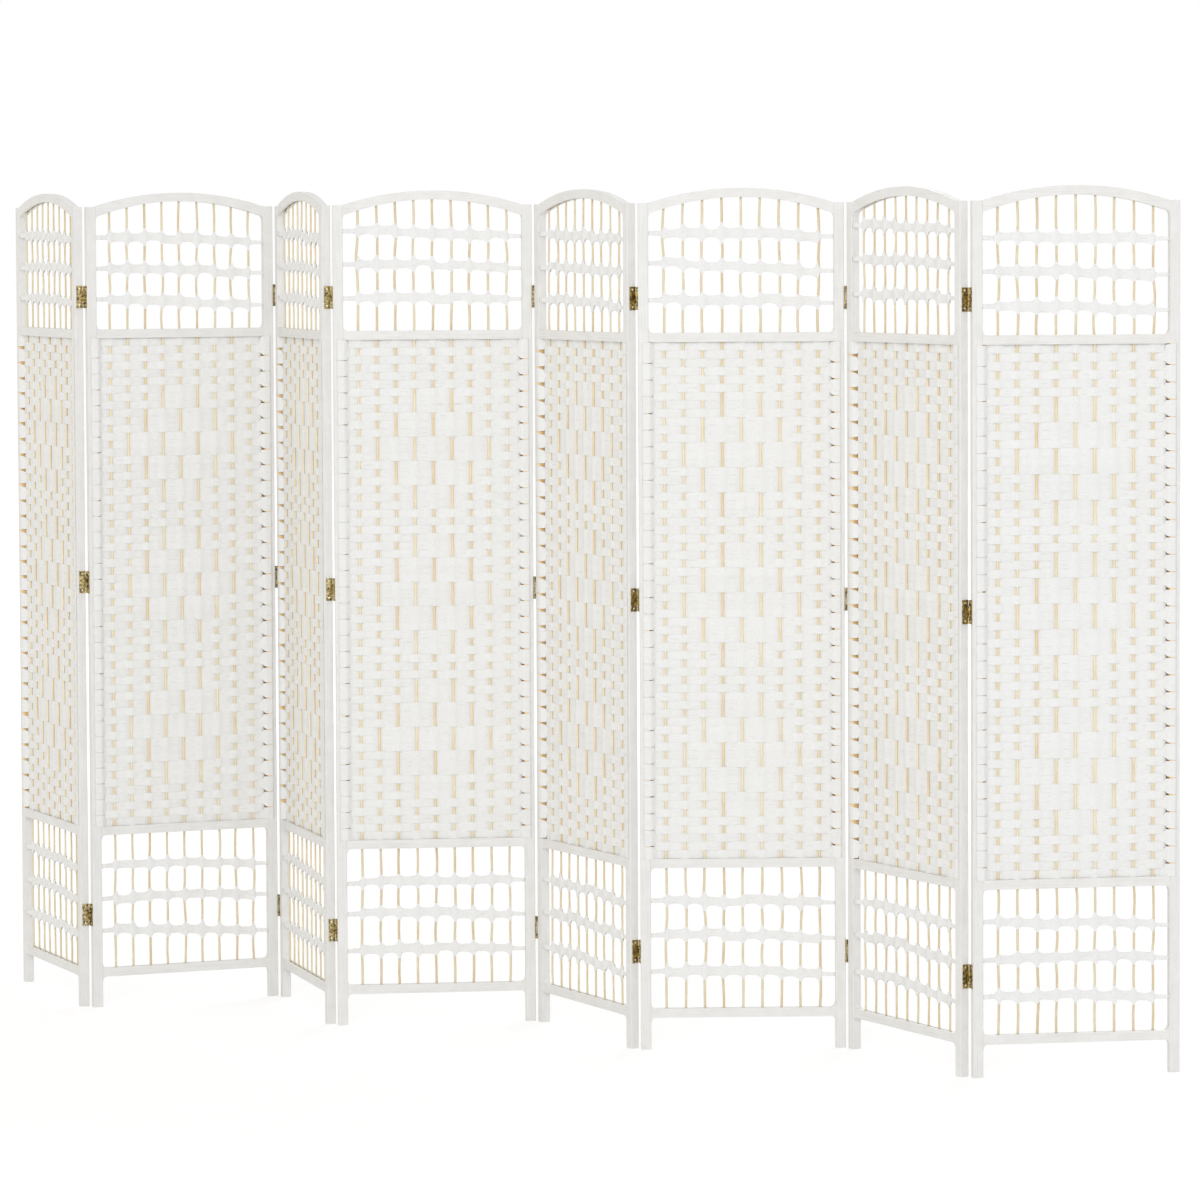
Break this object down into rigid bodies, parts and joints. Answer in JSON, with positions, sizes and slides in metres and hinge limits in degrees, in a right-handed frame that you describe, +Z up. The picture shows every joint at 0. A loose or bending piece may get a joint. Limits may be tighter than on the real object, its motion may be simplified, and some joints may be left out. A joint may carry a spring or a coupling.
{
  "type": "folding room divider",
  "caption": "Folding room divider of hinged arched panels: white frames, upright bamboo rods, a woven paper mat and twined paper bands.",
  "frame": {"origin": "floor level, under the middle of the standing screen", "axes": "+X along the screen from its first to its last panel, -Y its front as pictured, +Z up"},
  "size_m": [2.6714, 0.3238, 1.7],
  "materials": {
    "frame_paint": "white painted wood, fine lengthwise streaks, satin",
    "bamboo": "natural split bamboo, satin",
    "paper_strip": "white twisted paper strip, matt with fine fibres",
    "brass_plate": "brass-plated pressed steel, dull",
    "brass_screw": "brass-plated screw heads",
    "steel_pin": "drawn steel pin"
  },
  "bodies": {
    "panel_1": {"stiles_1": "frame_paint", "rails_1": "frame_paint", "rods_1": "bamboo", "weave_1": "paper_strip", "hinge_leaves_1": "brass_plate", "hinge_screws_1": "brass_screw"},
    "panel_2": {"stiles_2": "frame_paint", "rails_2": "frame_paint", "rods_2": "bamboo", "weave_2": "paper_strip", "hinge_leaves_2": "brass_plate", "hinge_screws_2": "brass_screw", "hinge_pins_2": "steel_pin"},
    "panel_3": {"stiles_3": "frame_paint", "rails_3": "frame_paint", "rods_3": "bamboo", "weave_3": "paper_strip", "hinge_leaves_3": "brass_plate", "hinge_screws_3": "brass_screw", "hinge_pins_3": "steel_pin"},
    "panel_4": {"stiles_4": "frame_paint", "rails_4": "frame_paint", "rods_4": "bamboo", "weave_4": "paper_strip", "hinge_leaves_4": "brass_plate", "hinge_screws_4": "brass_screw", "hinge_pins_4": "steel_pin"},
    "panel_5": {"stiles_5": "frame_paint", "rails_5": "frame_paint", "rods_5": "bamboo", "weave_5": "paper_strip", "hinge_leaves_5": "brass_plate", "hinge_screws_5": "brass_screw", "hinge_pins_5": "steel_pin"},
    "panel_6": {"stiles_6": "frame_paint", "rails_6": "frame_paint", "rods_6": "bamboo", "weave_6": "paper_strip", "hinge_leaves_6": "brass_plate", "hinge_screws_6": "brass_screw", "hinge_pins_6": "steel_pin"},
    "panel_7": {"stiles_7": "frame_paint", "rails_7": "frame_paint", "rods_7": "bamboo", "weave_7": "paper_strip", "hinge_leaves_7": "brass_plate", "hinge_screws_7": "brass_screw", "hinge_pins_7": "steel_pin"},
    "panel_8": {"stiles_8": "frame_paint", "rails_8": "frame_paint", "rods_8": "bamboo", "weave_8": "paper_strip", "hinge_leaves_8": "brass_plate", "hinge_screws_8": "brass_screw", "hinge_pins_8": "steel_pin"}
  },
  "joints": [
    {"name": "hinge_1_2", "type": "hinge", "parent": "panel_2", "child": "panel_1", "pos_m": [-1.00459, -0.14832, 0], "axis": [0, 0, 1], "range_deg": [-92, 88]},
    {"name": "hinge_2_3", "type": "hinge", "parent": "panel_3", "child": "panel_2", "pos_m": [-0.72466, 0.15008, 0], "axis": [0, 0, -1], "range_deg": [-85.4, 94.6]},
    {"name": "hinge_3_4", "type": "hinge", "parent": "panel_4", "child": "panel_3", "pos_m": [-0.41979, -0.12279, 0], "axis": [0, 0, 1], "range_deg": [-100.5, 79.5]},
    {"name": "hinge_4_5", "type": "hinge", "parent": "panel_4", "child": "panel_5", "pos_m": [-0.07179, 0.09239, 0], "axis": [0, 0, 1], "range_deg": [-111, 69]},
    {"name": "hinge_5_6", "type": "hinge", "parent": "panel_5", "child": "panel_6", "pos_m": [0.2777, -0.12036, 0], "axis": [0, 0, -1], "range_deg": [-115.9, 64.1]},
    {"name": "hinge_6_7", "type": "hinge", "parent": "panel_6", "child": "panel_7", "pos_m": [0.6428, 0.06431, 0], "axis": [0, 0, 1], "range_deg": [-117.5, 62.5]},
    {"name": "hinge_7_8", "type": "hinge", "parent": "panel_7", "child": "panel_8", "pos_m": [0.9981, -0.13859, 0], "axis": [0, 0, -1], "range_deg": [-110.7, 69.3]}
  ]
}
